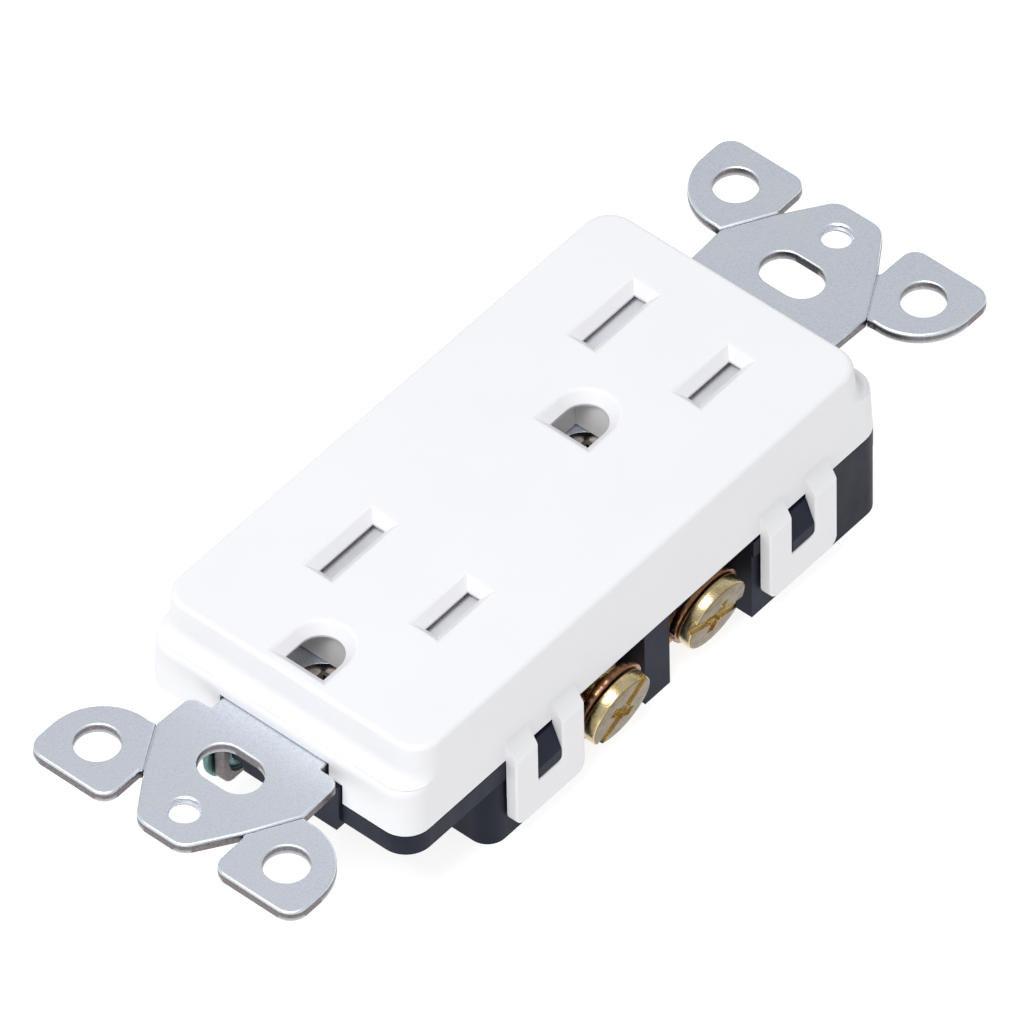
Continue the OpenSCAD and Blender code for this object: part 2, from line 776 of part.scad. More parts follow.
module ground_screw() {
    slot = 1.1;
    color([0.2, 0.5, 0.38]) difference() {
        translate([ground_head_x, ground_y, ground_z]) rotate([0, -90, 0]) rotate_extrude() polygon([
            [0, -ground_shank], [1.5, -ground_shank], [ground_shank_r, 0.5 - ground_shank], [ground_shank_r, 0],
            [ground_head_r - 0.2, 0], [ground_head_r, 0.2], [ground_head_r, head_t - 0.5],
            [ground_head_r - 0.4, head_t - 0.1], [0, head_t - 0.1]
        ]);
        translate([ground_head_x - head_t + 0.1, ground_y, ground_z]) rotate([-25, 0, 0]) {
            cube([1.8, slot, 12], center = true);
            cube([1.8, 3, slot], center = true);
        }
    }
}

face_cover();
base_housing();
mounting_strap();
hot_contact_strip();
neutral_contact_strip();
ground_contact_strip();
ground_rivets();
upper_shutter_frame();
lower_shutter_frame();
upper_shutter();
lower_shutter();
upper_shutter_spring();
lower_shutter_spring();
hot_upper_clamp();
hot_lower_clamp();
neutral_upper_clamp();
neutral_lower_clamp();
hot_upper_screw();
hot_lower_screw();
neutral_upper_screw();
neutral_lower_screw();
ground_screw();
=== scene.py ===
"""Looks of a decorator-style duplex wall outlet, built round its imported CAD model.

Lengths are in millimetres in the part's own frame until a mesh is made: +Z points out of the wall,
+Y to the top end, +X to the hot side, and the origin is on the strap's rear face.
"""

import math

import bmesh
import bpy
from mathutils import Matrix, Vector
from mathutils.geometry import tessellate_polygon


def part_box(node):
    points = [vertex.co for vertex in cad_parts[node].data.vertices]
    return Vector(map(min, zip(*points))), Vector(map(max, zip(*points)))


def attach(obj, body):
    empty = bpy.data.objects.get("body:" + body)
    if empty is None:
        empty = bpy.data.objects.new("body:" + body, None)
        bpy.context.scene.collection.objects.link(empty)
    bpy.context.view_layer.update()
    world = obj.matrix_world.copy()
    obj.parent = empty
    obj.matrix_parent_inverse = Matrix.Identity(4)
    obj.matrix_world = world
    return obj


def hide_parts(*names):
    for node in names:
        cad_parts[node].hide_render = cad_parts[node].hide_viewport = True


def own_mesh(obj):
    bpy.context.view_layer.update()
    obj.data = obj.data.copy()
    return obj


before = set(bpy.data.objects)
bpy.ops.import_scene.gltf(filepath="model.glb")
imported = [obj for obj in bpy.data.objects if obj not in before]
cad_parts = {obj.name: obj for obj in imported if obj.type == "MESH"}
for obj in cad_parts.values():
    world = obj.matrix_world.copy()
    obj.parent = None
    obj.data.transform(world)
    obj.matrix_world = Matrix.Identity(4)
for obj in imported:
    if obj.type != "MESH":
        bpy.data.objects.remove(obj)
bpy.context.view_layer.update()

MM = 0.001
ROOT = "housing"
scene = bpy.context.scene


def cad(node):
    """Lowest and highest corners of a CAD node, in millimetres."""
    low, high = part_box(node)
    return low / MM, high / MM


# ---- driving values, from the CAD nodes where they can be read ----

COVER_LOW, COVER_HIGH = cad("face_cover")
STRAP_HIGH = cad("mounting_strap")[1]
BASE_LOW = cad("base_housing")[0]

FACE_TOP = COVER_HIGH.z
CLIP_X = COVER_HIGH.x
CLIP_BOTTOM = COVER_LOW.z
COVER_END = COVER_HIGH.y
STRAP_T = STRAP_HIGH.z
STRAP_END = STRAP_HIGH.y
FLOOR_GAP = 0.05
FLOOR_Z = BASE_LOW.z - FLOOR_GAP

# Cover: size of the face, of the parting line, and of the ledge at each end
FACE_W, FACE_L = 33.1, 66.2
COVER_W = 34.0
PARTING_Z = -3.2
LEDGE_Z = 2.8
CORNER_R = 3.0
FACE_UNDER = 5.9
COVER_WALL = 1.4
LEDGE_UNDER = 1.3
LEAD_IN = 1.05

# Openings of the two outlets, measured from each outlet's row of blade slots
ROWS = (22.4, -16.5)
BLADE_X = 6.35
SLOT_W = 1.6
SLOT_LENGTHS = ((-1, 7.9), (1, 6.3))
GROUND_DROP = 11.9
GROUND_R = 2.4

# Notches in the cover's ends, for the strap and for the base's lug beside it
NOTCH_W, NOTCH_TOP = 13.8, 1.4
LUG_HALF_W, LUG_NOTCH_TOP = 8.6, -0.5

# Snap clips, and the window in each
CLIP_MIDDLE, CLIP_SPREAD = 2.65, 18.92
CLIP_YS = (CLIP_MIDDLE - CLIP_SPREAD, CLIP_MIDDLE + CLIP_SPREAD)
CLIP_W = 10.1
CLIP_T = 1.3
WINDOW_W, WINDOW_LOW = 3.5, -7.9

THREAD_PITCH = 0.794
THREAD_DEPTH = 0.28

# Width of the flat ring that keeps a face's shading flat up to its rounded edge
FLAT_RIM = 0.02

# How far a tool shape reaches past what it cuts
PAST = 9.0


# ---- mesh helpers ----

class Solid:
    """Points and faces of one closed shape, in millimetres."""

    def __init__(self):
        self.points = []
        self.faces = []

    def ring(self, points):
        """Adds a loop of points and returns their numbers."""
        start = len(self.points)
        self.points += [Vector(p) for p in points]
        return list(range(start, len(self.points)))

    def wall(self, a, b):
        """Joins two rings of the same length with quads."""
        n = len(a)
        for i in range(n):
            j = (i + 1) % n
            self.faces.append((a[i], a[j], b[j], b[i]))

    def loft(self, rings):
        """Adds a list of rings with a wall between each two, and returns the first and last."""
        numbers = [self.ring(r) for r in rings]
        for a, b in zip(numbers, numbers[1:]):
            self.wall(a, b)
        return numbers[0], numbers[-1]

    def cap(self, outer, holes=()):
        """Fills a flat loop that may have holes."""
        loops = [outer, *holes]
        numbers = [i for loop in loops for i in loop]
        flat = [[self.points[i] for i in loop] for loop in loops]
        self.faces += [tuple(numbers[k] for k in tri) for tri in tessellate_polygon(flat)]

    def mesh(self, name):
        """The shape as a mesh in metres, with joined points and outward faces."""
        mesh = bpy.data.meshes.new(name)
        mesh.from_pydata([p * MM for p in self.points], [], self.faces)
        edit = bmesh.new()
        edit.from_mesh(mesh)
        bmesh.ops.remove_doubles(edit, verts=edit.verts, dist=2e-7)
        bmesh.ops.dissolve_degenerate(edit, edges=edit.edges, dist=1e-7)
        bmesh.ops.recalc_face_normals(edit, faces=edit.faces)
        edit.to_mesh(mesh)
        edit.free()
        return mesh

    def object(self, name):
        """The shape as an object in the scene."""
        obj = bpy.data.objects.new(name, self.mesh(name))
        scene.collection.objects.link(obj)
        return obj


def arc(cx, cy, r, start, end, steps):
    """Points along an arc, in degrees from start to end, ends included."""
    angles = [math.radians(start + (end - start) * i / steps) for i in range(steps + 1)]
    return [(cx + r * math.cos(a), cy + r * math.sin(a)) for a in angles]


def circle(cx, cy, r, steps=48):
    """Points of a full circle."""
    return arc(cx, cy, r, 0, 360, steps)[:-1]


def rounded(corners, steps=6):
    """A closed outline whose corners (x, y, radius) are rounded."""
    outline = []
    n = len(corners)
    for i, (x, y, r) in enumerate(corners):
        here = Vector((x, y))
        back = Vector(corners[i - 1][:2]) - here
        ahead = Vector(corners[(i + 1) % n][:2]) - here
        if r <= 0:
            outline.append((x, y))
            continue
        back.normalize()
        ahead.normalize()
        half = back.angle(ahead) / 2
        centre = here + (back + ahead).normalized() * r / math.sin(half)
        a = here + back * r / math.tan(half) - centre
        b = here + ahead * r / math.tan(half) - centre
        turn = math.atan2(a.x * b.y - a.y * b.x, a.dot(b))
        for k in range(steps + 1):
            t = turn * k / steps
            c, s = math.cos(t), math.sin(t)
            outline.append((centre.x + a.x * c - a.y * s, centre.y + a.x * s + a.y * c))
    return outline


def area(outline):
    """Signed area of a closed outline."""
    pairs = zip(outline, outline[1:] + outline[:1])
    return sum(a[0] * b[1] - b[0] * a[1] for a, b in pairs) / 2


def inset(outline, distance):
    """The outline moved inwards by a small distance, point by point."""
    sign = 1 if area(outline) > 0 else -1
    n = len(outline)
    moved = []
    for i in range(n):
        here = Vector(outline[i])
        before = (here - Vector(outline[i - 1])).normalized()
        after = (Vector(outline[(i + 1) % n]) - here).normalized()
        normal_a = Vector((-before.y, before.x)) * sign
        normal_b = Vector((-after.y, after.x)) * sign
        middle = (normal_a + normal_b).normalized()
        reach = distance / max(0.3, middle.dot(normal_a))
        moved.append(tuple(here + middle * reach))
    return moved


def round_box(w, l, r):
    """Outline of a rounded rectangle, centred on the origin."""
    x, y = w / 2, l / 2
    return rounded([(x, -y, r), (x, y, r), (-x, y, r), (-x, -y, r)], 10)


def quarter(r, steps):
    """(inward, down) pairs of a quarter round of radius r, from the flat top edge to the side wall."""
    angles = [math.pi / 2 * i / steps for i in range(steps + 1)]
    return [(r * (1 - math.sin(a)), r * (1 - math.cos(a))) for a in angles]


def at_height(outline, z):
    """The outline's points at one height."""
    return [(x, y, z) for x, y in outline]


def sheet_metal(solid, outline, holes, z0, z1, top_r=0.28, punched=(), threads=()):
    """Adds a stamped plate to a solid: rolled edges on top, sharp ones below, and holes.

    The edges of holes are rolled less, and those of punched ones hardly. Each thread is (x, y, radius).
    """
    low_r, hole_r, punched_r = 0.07, 0.2, 0.04

    def rings(loop, grow, r_top):
        low = [(grow * (low_r + FLAT_RIM), z0), (grow * low_r, z0), (0, z0 + low_r)]
        top = [(grow * i, z1 - d) for i, d in reversed(quarter(r_top, 4))]
        top.append((grow * (r_top + FLAT_RIM), z1))
        return [at_height(inset(loop, i), z) for i, z in low + top]

    first, last = solid.loft(rings(outline, 1, top_r))
    low_holes = []
    top_holes = []
    for loop, radius in [(h, hole_r) for h in holes] + [(h, punched_r) for h in punched]:
        a, b = solid.loft(rings(loop, -1, radius))
        low_holes.append(a)
        top_holes.append(b)
    for cx, cy, r in threads:
        a, b = solid.loft(thread_hole(cx, cy, r, z0, z1))
        low_holes.append(a)
        top_holes.append(b)
    solid.cap(first, low_holes)
    solid.cap(last, top_holes)


def thread_wave(turns):
    """Height of a V thread, 0 at the root and 1 at the crest, with small flats."""
    steepness, root_flat = 1.25, 0.1
    saw = abs((turns % 1.0) * 2 - 1)
    return min(1.0, max(0.0, saw * steepness - root_flat))


def thread_hole(cx, cy, r, z0, z1):
    """Rings of a tapped hole from z0 to z1, opening out at both ends."""
    steps, levels = 48, 24
    mouth_depth, mouth_r = 0.14, 0.2
    rings = []
    for k in range(levels + 1):
        z = z0 + (z1 - z0) * k / levels
        mouth = max(0.0, 1 - min(z - z0, z1 - z) / mouth_depth)
        ring = []
        for i in range(steps):
            a = 2 * math.pi * i / steps
            cut = THREAD_DEPTH * (1 - thread_wave(z / THREAD_PITCH - i / steps))
            radius = r + max(cut, mouth * mouth_r)
            ring.append((cx + radius * math.cos(a), cy + radius * math.sin(a), z))
        rings.append(ring)
    rims = [r + THREAD_DEPTH + FLAT_RIM, r + THREAD_DEPTH + 2 * FLAT_RIM]
    before = [at_height(circle(cx, cy, rim, steps), z0) for rim in reversed(rims)]
    after = [at_height(circle(cx, cy, rim, steps), z1) for rim in rims]
    return before + rings + after


def placed(obj, matrix):
    """Moves an object's own points, so that the object stays at the origin."""
    obj.data.transform(matrix)
    return obj


def along_minus_x(x, y, z):
    """Turns a shape made along +Z, in millimetres, to point along -X from a point."""
    turn = Matrix.Rotation(math.radians(-90), 4, "Y")
    return Matrix.Translation(Vector((x, y, z)) * MM) @ turn


def baked(obj):
    """Applies an object's modifiers to its mesh."""
    graph = bpy.context.evaluated_depsgraph_get()
    mesh = bpy.data.meshes.new_from_object(obj.evaluated_get(graph))
    obj.modifiers.clear()
    obj.data = mesh


def combine(obj, other, operation):
    """Joins or cuts obj with another object, which is used up."""
    step = obj.modifiers.new("combine", "BOOLEAN")
    step.operation = operation
    step.solver = "EXACT"
    step.object = other
    baked(obj)
    bpy.data.objects.remove(other)
    return obj


def block(low, high):
    """A box between two corners, used to cut and join."""
    solid = Solid()
    (x0, y0, z0), (x1, y1, z1) = low, high
    outline = [(x0, y0), (x1, y0), (x1, y1), (x0, y1)]
    first, last = solid.loft([at_height(outline, z0), at_height(outline, z1)])
    solid.cap(first)
    solid.cap(last)
    return solid.object("block")


def soften(obj, width, angle):
    """Rounds the sharp edges of an object by a small width in millimetres."""
    step = obj.modifiers.new("round_edges", "BEVEL")
    step.width = width * MM
    step.segments = 2
    step.limit_method = "ANGLE"
    step.angle_limit = math.radians(angle)
    step.use_clamp_overlap = True
    step.miter_outer = "MITER_ARC"


def even_normals(obj):
    """Keeps the flat faces' shading flat beside rounded edges."""
    step = obj.modifiers.new("even_normals", "WEIGHTED_NORMAL")
    step.keep_sharp = True
    step.weight = 100


def smooth(obj, angle):
    """Shades round faces smooth and keeps sharp edges and flat faces."""
    obj.data.shade_smooth()
    obj.data.set_sharp_from_angle(angle=math.radians(angle))
    even_normals(obj)


def finished(obj, body, slot, material, *nodes):
    """Gives a piece its material and its body, and hides the CAD nodes that it stands for."""
    obj.data.materials.clear()
    obj.data.materials.append(material)
    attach(obj, body)
    if nodes:
        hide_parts(*nodes)


# ---- materials ----

class Look:
    """A node material whose Principled shader is fed by procedural detail."""

    def __init__(self, name, roughness, metallic=0.0, specular=0.5):
        self.material = bpy.data.materials.new(name)
        self.material.use_nodes = True
        self.tree = self.material.node_tree
        self.shader = self.tree.nodes["Principled BSDF"]
        self.shader.inputs["Metallic"].default_value = metallic
        self.shader.inputs["Roughness"].default_value = roughness
        self.shader.inputs["Specular IOR Level"].default_value = specular
        self.place = self.node("ShaderNodeTexCoord").outputs["Object"]

    def node(self, kind, **settings):
        """Adds a node and sets it up."""
        made = self.tree.nodes.new(kind)
        for key, value in settings.items():
            setattr(made, key, value)
        return made

    def link(self, source, target):
        """Feeds an output into an input."""
        self.tree.links.new(source, target)

    def steps(self, size, stretch=(1, 1, 1)):
        """The object's coordinates, counted in steps of size millimetres."""
        mapping = self.node("ShaderNodeMapping")
        mapping.inputs["Scale"].default_value = [s / (size * MM) for s in stretch]
        self.link(self.place, mapping.inputs["Vector"])
        return mapping.outputs["Vector"]

    def noise(self, size, detail, stretch=(1, 1, 1)):
        """Noise whose features are about size millimetres across."""
        place = self.steps(size, stretch)
        texture = self.node("ShaderNodeTexNoise")
        texture.inputs["Scale"].default_value = 1.0
        texture.inputs["Detail"].default_value = detail
        self.link(place, texture.inputs["Vector"])
        return texture.outputs["Fac"]

    def cells(self, size):
        """A random value for each cell, of about size millimetres."""
        place = self.steps(size)
        texture = self.node("ShaderNodeTexVoronoi", feature="F1")
        texture.inputs["Scale"].default_value = 1.0
        self.link(place, texture.inputs["Vector"])
        split = self.node("ShaderNodeSeparateColor")
        self.link(texture.outputs["Color"], split.inputs["Color"])
        return split.outputs["Red"]

    def facing(self, axis):
        """How far the surface looks along an axis of the object, from 0 to 1, either way."""
        split = self.node("ShaderNodeSeparateXYZ")
        self.link(self.node("ShaderNodeTexCoord").outputs["Normal"], split.inputs[0])
        size = self.node("ShaderNodeMath", operation="ABSOLUTE")
        self.link(split.outputs[axis], size.inputs[0])
        return size.outputs[0]

    def ramp(self, source, stops):
        """Colours or grey values along a source from 0 to 1."""
        ramp = self.node("ShaderNodeValToRGB")
        elements = ramp.color_ramp.elements
        while len(elements) < len(stops):
            elements.new(0.5)
        for element, (position, value) in zip(elements, stops):
            element.position = position
            colour = (value,) * 3 if isinstance(value, (int, float)) else value
            element.color = (*colour, 1)
        self.link(source, ramp.inputs["Fac"])
        return ramp.outputs["Color"]

    def mix(self, a, b, share):
        """Mixes two colours. share is a number, or a source that changes over the surface."""
        mix = self.node("ShaderNodeMix", data_type="RGBA")
        share_in, a_in, b_in = mix.inputs[0], mix.inputs[6], mix.inputs[7]
        if isinstance(share, float):
            share_in.default_value = share
        else:
            self.link(share, share_in)
        self.link(a, a_in)
        self.link(b, b_in)
        return mix.outputs[2]

    def openness(self, distance):
        """1 on open faces, and less where other surfaces are nearer than a distance in millimetres."""
        near = self.node("ShaderNodeAmbientOcclusion", samples=8)
        near.inputs["Distance"].default_value = distance * MM
        return near.outputs["AO"]

    def colour(self, source):
        """Feeds the shader's colour."""
        self.link(source, self.shader.inputs["Base Color"])

    def rough(self, source):
        """Feeds the shader's roughness."""
        self.link(source, self.shader.inputs["Roughness"])

    def bump(self, source, strength, height):
        """Bump of a strength from 0 to 1 and a height in millimetres."""
        bump = self.node("ShaderNodeBump")
        bump.inputs["Strength"].default_value = strength
        bump.inputs["Distance"].default_value = height * MM
        self.link(source, bump.inputs["Height"])
        self.link(bump.outputs["Normal"], self.shader.inputs["Normal"])


def tint(colour, k):
    """A colour made lighter or darker by a factor."""
    return tuple(min(1.0, c * k) for c in colour)


def plastic(name, colour, roughness, spread, grain, relief, specular=0.5):
    """Moulded plastic: faint cloudiness, a fine satin grain and slightly uneven gloss.

    spread is how far the colour wanders, grain its size in millimetres, and relief its strength.
    """
    look = Look(name, roughness, specular=specular)
    cloud = look.noise(9, 2)
    look.colour(look.ramp(cloud, [(0.3, tint(colour, 1 - spread)), (0.7, tint(colour, 1 + spread))]))
    fine = look.noise(grain, 2)
    patch = look.noise(2.5, 4)
    look.rough(look.ramp(look.mix(fine, patch, 0.6), [(0.3, roughness - 0.06), (0.7, roughness + 0.06)]))
    look.bump(fine, relief, 0.02)
    return look.material


def galvanised(name, colour, sheared):
    """Zinc-plated sheet: fine crystals, a mottled gloss, small dents and duller sheared edges."""
    look = Look(name, 0.4, metallic=1.0)
    crystals = look.cells(0.15)
    mottle = look.noise(0.22, 4)
    cloud = look.noise(5, 3)
    mixed = look.mix(look.mix(crystals, mottle, 0.55), cloud, 0.3)
    flat = look.ramp(mixed, [(0.3, tint(colour, 0.86)), (0.5, colour), (0.7, tint(colour, 1.1))])
    edge = look.ramp(look.noise(0.3, 4), [(0.3, tint(sheared, 0.7)), (0.7, tint(sheared, 1.2))])
    look.colour(look.mix(edge, flat, look.ramp(look.facing("Z"), [(0.12, 0), (0.5, 1)])))
    look.rough(look.ramp(mixed, [(0.3, 0.48), (0.7, 0.36)]))
    dents = look.noise(0.22, 4)
    rolling = look.noise(0.35, 3, stretch=(1, 0.08, 1))
    look.bump(look.mix(dents, rolling, 0.35), 0.5, 0.02)
    return look.material


def plated(name, colour, dark, roughness, face=None):
    """Bare or plated metal: bright, with darker tarnish, fine pits and a slightly uneven surface.

    face is the colour of a painted shade on the faces that look along X. In recesses, found by ambient
    occlusion, a painted lighter colour takes its place.
    """
    look = Look(name, roughness, metallic=1.0)
    tarnish = look.noise(1.1, 5)
    pits = look.noise(0.18, 3)
    mixed = look.mix(tarnish, pits, 0.35)
    shade = look.ramp(mixed, [(0.3, dark), (0.5, colour), (0.72, tint(colour, 1.1))])
    if face:
        # Painted shade: the faces that look along X get the darker face colour.
        painted_face_shading = look.ramp(mixed, [(0.32, tint(face, 0.6)), (0.55, face), (0.75, tint(face, 1.25))])
        share = look.ramp(look.facing("X"), [(0.72, 0), (0.95, 1)])
        # Painted light: recesses, where ambient occlusion finds near surfaces, get a lighter colour in
        # place of that painted shade.
        painted_recess_light = look.ramp(mixed, [(0.3, tint(colour, 0.7)), (0.6, tint(colour, 1.25))])
        painted_face_shading = look.mix(painted_recess_light, painted_face_shading, look.ramp(look.openness(1.4), [(0.5, 0), (0.95, 1)]))
        shade = look.mix(shade, painted_face_shading, share)
    look.colour(shade)
    look.rough(look.ramp(mixed, [(0.3, roughness + 0.16), (0.65, roughness)]))
    look.bump(look.mix(pits, look.noise(0.5, 4), 0.5), 0.5, 0.05)
    return look.material


WHITE = plastic("white_nylon", (0.82, 0.82, 0.835), 0.48,
                spread=0.008, grain=0.1, relief=0.08, specular=0.35)
BLACK = plastic("black_base", (0.010, 0.013, 0.027), 0.5,
                spread=0.2, grain=0.12, relief=0.2, specular=0.15)
GREY = plastic("grey_nylon", (0.93, 0.92, 0.91), 0.5, spread=0.05, grain=0.3, relief=0.3)
SHUTTER = plastic("shutter_grey", (0.62, 0.62, 0.66), 0.5, spread=0.12, grain=0.3, relief=0.4)
STEEL = galvanised("galvanised_steel", (0.87, 0.92, 1.0), (0.19, 0.17, 0.175))
SPRING = plated("spring_steel", (0.56, 0.57, 0.6), (0.4, 0.4, 0.42), 0.25)
# The face colours of these screws are painted shade on their faces that look along X.
BRASS = plated("screw_brass", (0.80, 0.66, 0.38), (0.50, 0.36, 0.16), 0.18, face=(0.17, 0.12, 0.05))
NICKEL = plated("screw_nickel", (0.72, 0.71, 0.69), (0.5, 0.49, 0.46), 0.2, face=(0.5, 0.49, 0.47))
CONTACT = plated("contact_brass", (0.68, 0.45, 0.20), (0.3, 0.17, 0.08), 0.28)
TINNED = plated("tinned_brass", (0.68, 0.65, 0.60), (0.42, 0.38, 0.33), 0.3)
COPPER = plated("copper_brass", (0.34, 0.18, 0.10), (0.09, 0.045, 0.035), 0.24)
DULL_BRASS = plated("dull_brass", (0.82, 0.75, 0.68), (0.62, 0.54, 0.48), 0.55)
GREEN = plated("screw_green", (0.14, 0.25, 0.225), (0.06, 0.12, 0.11), 0.35)


# ---- face cover ----

def cover_width(z):
    """Width of the drafted cover at a height."""
    return FACE_W + (COVER_W - FACE_W) * (FACE_TOP - z) / (FACE_TOP - PARTING_Z)


def cover_rings():
    """Rings of the cover's outside, from the top edge down to the parting line."""
    edge_r, foot_r, ledge_r, steps = 0.5, 1.6, 0.9, 6
    face_foot = FACE_L + 0.4
    ledge_l = 2 * COVER_END - 0.3
    lip, lip_height = 0.1, 0.15
    rings = []
    for inward, down in quarter(edge_r, steps):
        z = FACE_TOP - down
        rings.append((FACE_W - 2 * inward, FACE_L - 2 * inward, z))
    for k in range(steps + 1):
        a = math.pi / 2 * k / steps
        z = LEDGE_Z + foot_r * (1 - math.sin(a))
        rings.append((cover_width(z), face_foot + 2 * foot_r * (1 - math.cos(a)), z))
    for inward, down in quarter(ledge_r, steps):
        z = LEDGE_Z - down
        rings.append((cover_width(z), ledge_l - 2 * inward, z))
    rings.append((COVER_W, 2 * COVER_END, PARTING_Z + lip_height))
    rings.append((COVER_W - 2 * lip, 2 * (COVER_END - lip), PARTING_Z))
    return [at_height(round_box(w, l, CORNER_R), z) for w, l, z in rings]


def slot_outline(x, y, length, grow):
    """A blade slot's outline, larger by grow on every side."""
    w = SLOT_W / 2 + grow
    l = length / 2 + grow
    return [(x + w, y - l), (x + w, y + l), (x - w, y + l), (x - w, y - l)]


def ground_outline(y, grow):
    """A ground hole's outline: round at the top, flat at the bottom."""
    r = GROUND_R + grow
    return [(r, y - r), *arc(0, y, r, 0, 180, 24), (-r, y - r)]


def mouth_profile():
    """(grow, height) pairs of an opening's mouth: a 45 degree lead-in under a rounded top edge."""
    radius, steps = 0.7, 5
    start = LEAD_IN + radius * math.tan(math.radians(22.5))
    pairs = [(start + FLAT_RIM, FACE_TOP)]
    for k in range(steps + 1):
        a = math.radians(45) * k / steps
        pairs.append((start - radius * math.sin(a), FACE_TOP - radius * (1 - math.cos(a))))
    return pairs + [(0, FACE_TOP - LEAD_IN)]


def cover_openings():
    """For each opening, its outlines from the mouth down to the face's underside."""
    levels = mouth_profile() + [(0, FACE_UNDER)]
    for y in ROWS:
        for side, length in SLOT_LENGTHS:
            yield [at_height(slot_outline(side * BLADE_X, y, length, g), z) for g, z in levels]
        yield [at_height(ground_outline(y - GROUND_DROP, g), z) for g, z in levels]


def clip_piece(y):
    """One snap clip: two arms that ramp out of the wall, and a bar across them."""
    y0, y1 = y - CLIP_W / 2, y + CLIP_W / 2
    w0, w1 = y - WINDOW_W / 2, y + WINDOW_W / 2
    top = 0.5
    outline = rounded([
        (y0, CLIP_BOTTOM, 1.3), (y1, CLIP_BOTTOM, 1.3), (y1, top, 0), (w1, top, 0),
        (w1, WINDOW_LOW, 0.8), (w0, WINDOW_LOW, 0.15), (w0, top, 0), (y0, top, 0),
    ], 8)
    edge_r, root_x = 0.25, 15.0
    edges = [(0, root_x)] + [(i, CLIP_X - d) for i, d in reversed(quarter(edge_r, 4))]
    arm = Solid()
    first, last = arm.loft([[(x, a, b) for a, b in inset(outline, i)] for i, x in edges])
    arm.cap(first)
    arm.cap(last)
    x_in, x_past, z_past = CLIP_X - CLIP_T, CLIP_X + 0.5, CLIP_BOTTOM - 1
    ramp_foot, ramp_top = -2.95, -0.25
    ramp_x, wall_x = 16.75, 15.8
    profile = rounded([
        (x_in, z_past, 0), (x_past, z_past, 0), (x_past, PARTING_Z, 0), (CLIP_X, ramp_foot, 1.5),
        (ramp_x, ramp_top, 0), (wall_x, ramp_top, 0), (wall_x, PARTING_Z, 0), (x_in, PARTING_Z, 0),
    ], 8)
    side = Solid()
    first, last = side.loft([[(a, t, b) for a, b in profile] for t in (y0 - 1, y1 + 1)])
    side.cap(first)
    side.cap(last)
    return combine(arm.object("clip"), side.object("clip_side"), "INTERSECT")


def face_cover():
    """The white cover: face, end ledges, openings, hollow underside, strap notches and clips."""
    shell = Solid()
    top, rim = shell.loft(cover_rings())
    wide, long = COVER_W - 2 * COVER_WALL, 2 * (COVER_END - COVER_WALL)
    face_wide, face_long = FACE_W - 2 * COVER_WALL, FACE_L - 2 * COVER_WALL
    inside = [
        (wide, long, PARTING_Z), (wide, long, LEDGE_UNDER),
        (face_wide, face_long, LEDGE_UNDER), (face_wide, face_long, FACE_UNDER),
    ]
    corner_r = CORNER_R - COVER_WALL
    low, under = shell.loft([at_height(round_box(w, l, corner_r), z) for w, l, z in inside])
    shell.wall(rim, low)
    ends = [shell.loft(levels) for levels in cover_openings()]
    shell.cap(top, [first for first, last in ends])
    shell.cap(under, [last for first, last in ends])
    cover = shell.object("face_cover_shell")
    reach, notch_low = 4, PARTING_Z - 1
    for end in (-1, 1):
        y0, y1 = sorted((end * (COVER_END - reach), end * (COVER_END + reach)))
        for x0, x1, notch_top in ((-NOTCH_W / 2, NOTCH_W / 2, NOTCH_TOP), (0, LUG_HALF_W, LUG_NOTCH_TOP)):
            combine(cover, block((x0, y0, notch_low), (x1, y1, notch_top)), "DIFFERENCE")
    for y in CLIP_YS:
        for side in (-1, 1):
            clip = clip_piece(y)
            if side < 0:
                placed(clip, Matrix.Diagonal((-1, 1, 1, 1)))
                clip.data.flip_normals()
            combine(clip, cover_core(side, y), "DIFFERENCE")
            combine(cover, clip, "UNION")
    smooth(cover, 38)
    finished(cover, ROOT, "white_nylon", WHITE, "face_cover")


def cover_core(side, y):
    """The space inside the cover's wall, which a clip's root must not fill."""
    wall_x, far_x = 15.55, 10.0
    low_z, high_z = PARTING_Z - 20, 2
    x0, x1 = sorted((side * wall_x, side * far_x))
    return block((x0, y - CLIP_W, low_z), (x1, y + CLIP_W, high_z))


# ---- mounting strap ----

# Half widths: under the cover, between its wider parts, at the shoulders, and at the tip
STRAP_HALF_W, WAIST_HALF_W, END_HALF_W, TIP_HALF_W = 6.6, 4.9, 9.1, 2.86
SHOULDER_Y, RELIEF_Y = 36.2, 37.0

# The +X +Y ear: its break-off line, its centre and radius, its flat side, and (x, y, radius) of its hole
SCORE_TOP = (6.3, 47.1)
SCORE_LOW = (9.3, 41.8)
EAR_X, EAR_Y, EAR_R = 10.7, 48.2, 6.3
EAR_SIDE_X = 17.0
EAR_HOLE = (11.98, 47.34, 2.33)
SCORE_DEPTH = 0.25

# Box-screw slots, and (x, y, radius) of the tapped wall-plate hole
BOX_Y, OVAL_X, OVAL_R = 41.67, 1.21, 2.37
PLATE_HOLE = (0.0, 48.42, 1.5)

# Ground pin openings, and the holes for the rivets
PIN_HOLE_R = 3.2
RIVET_YS, RIVET_R = (3.5, -6.5), 1.3

# Ground tab in the YZ plane: its sides, its lower end, and (y, z, radius) of its tapped hole
TAB_X = -STRAP_HALF_W
TAB_YS, TAB_LOW, TAB_CORNER_R = (-36.85, -31.2), -9.8, 1.4
TAB_HOLE = (-34.0, -7.0, 1.9)


def mirrored(outline, x, y):
    """The outline mirrored where x or y is -1."""
    return [(x * a, y * b) for a, b in outline]


def strap_end(shoulder):
    """Corners of the strap's +X edge at the +Y end, from the shoulder to the tip."""
    return [
        (STRAP_HALF_W, shoulder, 0.3), (END_HALF_W, shoulder, 1.3), (*SCORE_LOW, 0), (*SCORE_TOP, 0),
        (TIP_HALF_W, STRAP_END, 2.2),
    ]


